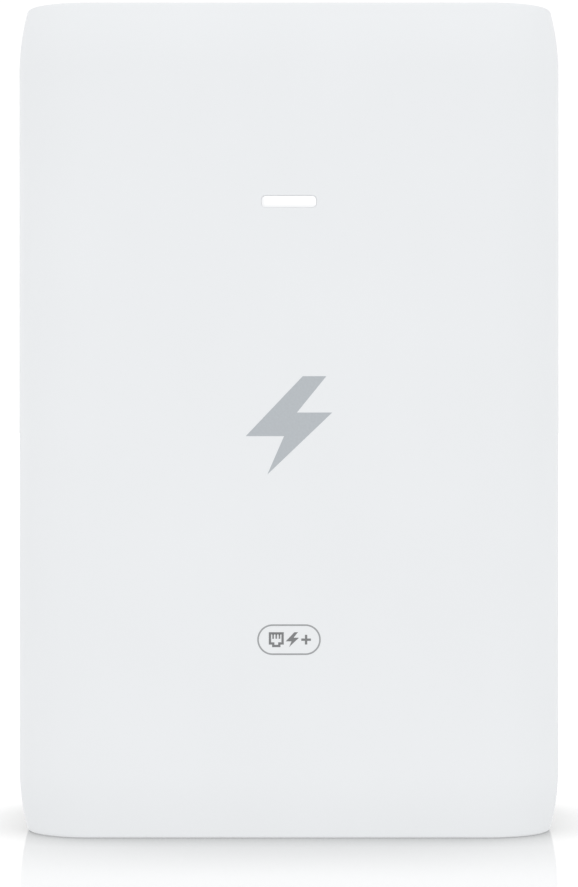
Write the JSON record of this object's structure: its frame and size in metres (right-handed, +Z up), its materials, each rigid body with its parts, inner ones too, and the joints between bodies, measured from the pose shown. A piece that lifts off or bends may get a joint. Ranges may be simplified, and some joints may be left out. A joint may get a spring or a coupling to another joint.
{
  "type": "poe injector",
  "caption": "Wall-mountable power injector in a rounded upright white case, with a mains inlet, a data jack and a powered jack in its lower end and a slide-on wall bracket.",
  "frame": {"origin": "middle of the bottom rim, in the middle of the case's width and of its depth with the bracket on", "axes": "+Z up along the case, -Y out of the front face, +Y towards the wall, +X to the right seen from the front"},
  "size_m": [0.063, 0.034, 0.0956],
  "materials": {
    "white_case": "fine matt moulded white plastic",
    "white_panel": "matt light grey plastic",
    "clear_lens": "frosted clear light pipe",
    "black_plastic": "black glass-filled plastic",
    "plated_steel": "thin nickel-plated sheet",
    "screw_steel": "zinc-plated steel",
    "gold_plate": "gold-plated spring wire",
    "pin_nickel": "nickel-plated brass",
    "board_laminate": "green solder mask on glass laminate",
    "clear_film": "polyester film",
    "copper_enamel": "enamelled copper wire",
    "ferrite": "ground ferrite",
    "yellow_tape": "yellow insulating tape over copper wire",
    "blue_epoxy": "dipped blue epoxy",
    "dark_green_epoxy": "dipped dark green epoxy",
    "grey_box": "grey box capacitor case",
    "can_sleeve": "dark shrink sleeve",
    "heat_sink_aluminium": "plain aluminium plate",
    "grey_silicone": "soft grey gap filler"
  },
  "bodies": {
    "case": {"front_cover": "white_case", "rear_cover": "white_case", "port_panel": "white_panel", "light_pipe": "clear_lens", "case_screw_1": "screw_steel", "case_screw_2": "screw_steel", "case_screw_3": "screw_steel", "case_screw_4": "screw_steel", "data_jack_shield": "plated_steel", "data_jack_insert": "black_plastic", "poe_jack_shield": "plated_steel", "poe_jack_insert": "black_plastic", "inlet_body": "black_plastic", "inlet_pin_line": "pin_nickel", "inlet_pin_neutral": "pin_nickel", "inlet_pin_earth": "pin_nickel", "main_board": "board_laminate", "insulation_sheet": "clear_film", "fuse": "black_plastic", "varistor": "blue_epoxy", "thermistor": "dark_green_epoxy", "x_capacitor": "grey_box", "choke_core": "ferrite", "choke_winding_line": "copper_enamel", "choke_winding_neutral": "copper_enamel", "bridge_rectifier": "black_plastic", "bulk_capacitor": "can_sleeve", "y_capacitor": "blue_epoxy", "transformer_core": "ferrite", "transformer_bobbin": "black_plastic", "transformer_winding": "yellow_tape", "thermal_pad": "grey_silicone", "primary_heat_sink": "heat_sink_aluminium", "primary_mosfet": "black_plastic", "pwm_controller": "black_plastic", "optocoupler": "black_plastic", "secondary_heat_sink": "heat_sink_aluminium", "output_rectifier": "black_plastic", "output_capacitor_1": "can_sleeve", "output_capacitor_2": "can_sleeve", "output_inductor": "ferrite", "data_magnetics": "black_plastic", "poe_magnetics": "black_plastic", "pse_controller": "black_plastic", "status_led": "clear_lens"},
    "bracket": {"wall_bracket": "white_case"},
    "data_contacts": {"data_jack_contacts": "gold_plate"},
    "poe_contacts": {"poe_jack_contacts": "gold_plate"}
  },
  "joints": [
    {"name": "bracket_slide", "type": "slide", "parent": "case", "child": "bracket", "axis": [0, 0, -1], "range_m": [0, 0.077]},
    {"name": "data_contacts_flex", "type": "hinge", "parent": "case", "child": "data_contacts", "pos_m": [0.0029, 0.00605, 0.0025], "axis": [-1, 0, 0], "range_deg": [0, 8], "stiffness_Nm_per_rad": 0.45},
    {"name": "poe_contacts_flex", "type": "hinge", "parent": "case", "child": "poe_contacts", "pos_m": [0.0191, 0.00605, 0.0025], "axis": [-1, 0, 0], "range_deg": [0, 8], "stiffness_Nm_per_rad": 0.45}
  ]
}
